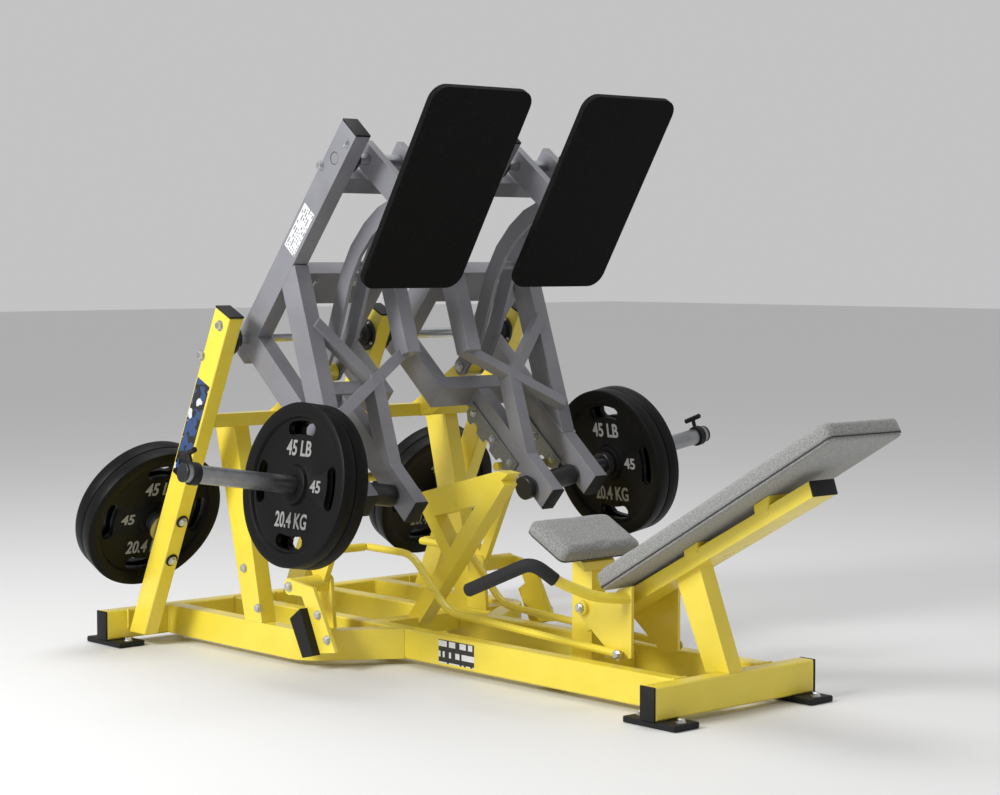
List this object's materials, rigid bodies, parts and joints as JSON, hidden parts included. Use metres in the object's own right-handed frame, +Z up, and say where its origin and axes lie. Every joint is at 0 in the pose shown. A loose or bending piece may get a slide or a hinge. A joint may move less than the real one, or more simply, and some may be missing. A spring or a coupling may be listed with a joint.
{
  "type": "leg press machine",
  "caption": "Plate-loaded leg press with a sloping back pad, two press arms that swing on their own, footplates on parallel links, a hand-released lock and plate storage horns.",
  "frame": {"origin": "on the floor, at the middle of the footprint", "axes": "+Z up, +X across the machine, -Y towards the user's head, +Y towards the storage posts"},
  "size_m": [1.977, 2.4748, 1.613],
  "materials": {
    "yellow_paint": "powder coated yellow, semi-gloss",
    "grey_paint": "powder coated metallic grey, semi-gloss",
    "black_rubber": "matt black",
    "black_iron": "black baked enamel, satin",
    "bright_steel": "bright plated, satin",
    "black_bearing": "black painted casting",
    "black_footplate": "black textured coating",
    "grey_vinyl": "heather grey woven-look vinyl"
  },
  "bodies": {
    "frame": {"front_cross_member": "yellow_paint", "rear_cross_member": "yellow_paint", "main_rail_left": "yellow_paint", "main_rail_right": "yellow_paint", "outrigger_left": "yellow_paint", "outrigger_right": "yellow_paint", "front_foot_left": "black_rubber", "front_foot_right": "black_rubber", "rear_foot_left": "black_rubber", "rear_foot_right": "black_rubber", "post_left": "yellow_paint", "post_right": "yellow_paint", "rear_arch": "yellow_paint", "seat_frame": "yellow_paint", "lever_axle": "bright_steel", "centre_frame": "yellow_paint", "back_pad": "grey_vinyl", "seat_pad": "grey_vinyl", "arm_bearing_outer_left": "black_bearing", "arm_bearing_outer_right": "black_bearing", "arm_bearing_inner_left": "black_bearing", "arm_bearing_inner_right": "black_bearing", "storage_horn_left": "bright_steel", "storage_horn_right": "bright_steel", "stored_plate_front_left": "black_iron", "stored_plate_front_right": "black_iron", "stored_plate_rear_left": "black_iron", "stored_plate_rear_right": "black_iron"},
    "arm_left": {"press_arm_left": "grey_paint", "arm_shaft_left": "bright_steel", "footplate_bearing_outer_left": "black_bearing", "footplate_bearing_inner_left": "black_bearing", "weight_horn_left": "bright_steel", "weight_plate_inner_left": "black_iron", "weight_plate_outer_left": "black_iron", "spring_clip_left": "black_rubber"},
    "footplate_left": {"footplate_left": "black_footplate", "footplate_carrier_left": "grey_paint", "footplate_shaft_left": "bright_steel"},
    "link_left": {"curved_link_left": "grey_paint", "link_shaft_left": "bright_steel"},
    "lock_left": {"lock_arm_left": "yellow_paint"},
    "lever_left": {"hand_lever_left": "yellow_paint"},
    "rod_left": {"link_rod_left": "yellow_paint"},
    "arm_right": {"press_arm_right": "grey_paint", "arm_shaft_right": "bright_steel", "footplate_bearing_outer_right": "black_bearing", "footplate_bearing_inner_right": "black_bearing", "weight_horn_right": "bright_steel", "weight_plate_inner_right": "black_iron", "weight_plate_outer_right": "black_iron", "spring_clip_right": "black_rubber"},
    "footplate_right": {"footplate_right": "black_footplate", "footplate_carrier_right": "grey_paint", "footplate_shaft_right": "bright_steel"},
    "link_right": {"curved_link_right": "grey_paint", "link_shaft_right": "bright_steel"},
    "lock_right": {"lock_arm_right": "yellow_paint"},
    "lever_right": {"hand_lever_right": "yellow_paint"},
    "rod_right": {"link_rod_right": "yellow_paint"}
  },
  "joints": [
    {"name": "arm_swing_left", "type": "hinge", "parent": "frame", "child": "arm_left", "pos_m": [-0.2765, 0.66043, 0.9303], "axis": [-1, 0, 0], "range_deg": [0, 28]},
    {"name": "footplate_tilt_left", "type": "hinge", "parent": "arm_left", "child": "footplate_left", "pos_m": [-0.2765, 0.24763, 1.431], "axis": [-1, 0, 0], "range_deg": [-28, 0]},
    {"name": "link_swing_left", "type": "hinge", "parent": "frame", "child": "link_left", "pos_m": [-0.275, 0.52943, 0.8303], "axis": [-1, 0, 0], "range_deg": [0, 28]},
    {"name": "lever_pull_left", "type": "hinge", "parent": "frame", "child": "lever_left", "pos_m": [-0.088, -0.35157, 0.2273], "axis": [1, 0, 0], "range_deg": [0, 14]},
    {"name": "lock_release_left", "type": "hinge", "parent": "frame", "child": "lock_left", "pos_m": [-0.35, 0.51343, 0.2223], "axis": [1, 0, 0], "range_deg": [-15, 0]},
    {"name": "rod_joint_left", "type": "hinge", "parent": "lever_left", "child": "rod_left", "pos_m": [-0.105, -0.50257, 0.1213], "axis": [1, 0, 0], "range_deg": [-13, 0]},
    {"name": "arm_swing_right", "type": "hinge", "parent": "frame", "child": "arm_right", "pos_m": [0.2765, 0.66043, 0.9303], "axis": [-1, 0, 0], "range_deg": [0, 28]},
    {"name": "footplate_tilt_right", "type": "hinge", "parent": "arm_right", "child": "footplate_right", "pos_m": [0.2765, 0.24763, 1.431], "axis": [-1, 0, 0], "range_deg": [-28, 0]},
    {"name": "link_swing_right", "type": "hinge", "parent": "frame", "child": "link_right", "pos_m": [0.275, 0.52943, 0.8303], "axis": [-1, 0, 0], "range_deg": [0, 28]},
    {"name": "lever_pull_right", "type": "hinge", "parent": "frame", "child": "lever_right", "pos_m": [0.088, -0.35157, 0.2273], "axis": [1, 0, 0], "range_deg": [0, 14]},
    {"name": "lock_release_right", "type": "hinge", "parent": "frame", "child": "lock_right", "pos_m": [0.35, 0.51343, 0.2223], "axis": [1, 0, 0], "range_deg": [-15, 0]},
    {"name": "rod_joint_right", "type": "hinge", "parent": "lever_right", "child": "rod_right", "pos_m": [0.105, -0.50257, 0.1213], "axis": [1, 0, 0], "range_deg": [-13, 0]}
  ],
  "couplings": [
    {"joint": "footplate_tilt_left", "follows": "arm_swing_left", "ratio": -1},
    {"joint": "link_swing_left", "follows": "arm_swing_left", "ratio": 1},
    {"joint": "lock_release_left", "follows": "lever_pull_left", "ratio": -1.05},
    {"joint": "rod_joint_left", "follows": "lever_pull_left", "ratio": -0.9},
    {"joint": "footplate_tilt_right", "follows": "arm_swing_right", "ratio": -1},
    {"joint": "link_swing_right", "follows": "arm_swing_right", "ratio": 1},
    {"joint": "lock_release_right", "follows": "lever_pull_right", "ratio": -1.05},
    {"joint": "rod_joint_right", "follows": "lever_pull_right", "ratio": -0.9}
  ]
}
